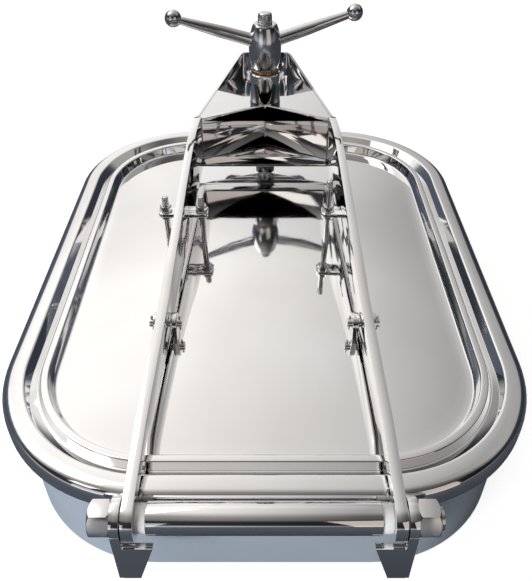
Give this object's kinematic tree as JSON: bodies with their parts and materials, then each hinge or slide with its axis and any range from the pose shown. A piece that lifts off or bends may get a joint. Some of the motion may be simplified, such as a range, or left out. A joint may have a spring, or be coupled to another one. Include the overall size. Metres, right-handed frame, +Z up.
{
  "type": "tank manway cover",
  "caption": "Rectangular tank manway cover: a gasketed lid under a hinged yoke, closed on a weld-in neck by a two-arm screw handle.",
  "frame": {"origin": "centre of the neck's lower weld edge", "axes": "+Z up, out of the tank; +Y towards the locking end, away from the hinge; +X along the hinge pin"},
  "size_m": [0.43, 0.626, 0.2778],
  "materials": {
    "mirror_steel": "mirror-polished stainless steel",
    "satin_steel": "satin stainless steel",
    "machined_steel": "turned and machined stainless steel",
    "cast_polished_steel": "cast stainless steel, polished, with soft unevenness",
    "brass": "plain turned brass",
    "gasket_rubber": "white food-grade silicone rubber",
    "spacer_plastic": "white plain-bearing plastic"
  },
  "bodies": {
    "neck": {"neck_frame": "satin_steel", "hinge_ear_left": "mirror_steel", "hinge_ear_right": "mirror_steel", "hinge_bolt": "machined_steel", "hinge_nut": "machined_steel", "keeper_ear_left": "satin_steel", "keeper_ear_right": "satin_steel", "latch_pin": "machined_steel", "latch_clips": "machined_steel"},
    "latch": {"latch_hook": "machined_steel"},
    "yoke": {"lid_shell": "mirror_steel", "lid_gasket": "gasket_rubber", "hinge_tube": "mirror_steel", "hinge_spacers": "spacer_plastic", "yoke_arm_left": "mirror_steel", "yoke_arm_right": "mirror_steel", "hood_web": "mirror_steel", "hood_bottom_plate": "mirror_steel", "hood_floor": "mirror_steel", "hood_end_plate": "mirror_steel", "spindle_boss": "mirror_steel", "nose_tongue": "mirror_steel", "catch_pin": "machined_steel", "lid_lugs_left": "mirror_steel", "lid_lugs_right": "mirror_steel", "lug_pins": "machined_steel", "lug_cotters": "machined_steel", "hanger_bracket_left": "mirror_steel", "hanger_bracket_right": "mirror_steel", "hanger_studs": "machined_steel", "hanger_washers": "machined_steel", "hanger_nuts": "machined_steel", "brass_washer": "brass"},
    "foot": {"pressure_foot": "machined_steel"},
    "spindle": {"spindle_rod": "machined_steel", "handle_hub": "cast_polished_steel", "handle_arm_left": "cast_polished_steel", "handle_arm_right": "cast_polished_steel", "handle_ball_left": "cast_polished_steel", "handle_ball_right": "cast_polished_steel"}
  },
  "joints": [
    {"name": "yoke_swing", "type": "hinge", "parent": "neck", "child": "yoke", "pos_m": [0, -0.295, 0.107], "axis": [1, 0, 0], "range_deg": [0, 110]},
    {"name": "latch_swing", "type": "hinge", "parent": "neck", "child": "latch", "pos_m": [0, 0.297, 0.062], "axis": [1, 0, 0], "range_deg": [0, 180]},
    {"name": "foot_lift", "type": "slide", "parent": "yoke", "child": "foot", "axis": [0, 0, 1], "range_m": [0, 0.0101]},
    {"name": "handle_spin", "type": "hinge", "parent": "foot", "child": "spindle", "pos_m": [0, 0.238, 0.2], "axis": [0, 0, 1], "range_deg": [0, 1800]}
  ],
  "couplings": [
    {"joint": "foot_lift", "follows": "handle_spin", "m_per_rad": 0.0003183}
  ]
}
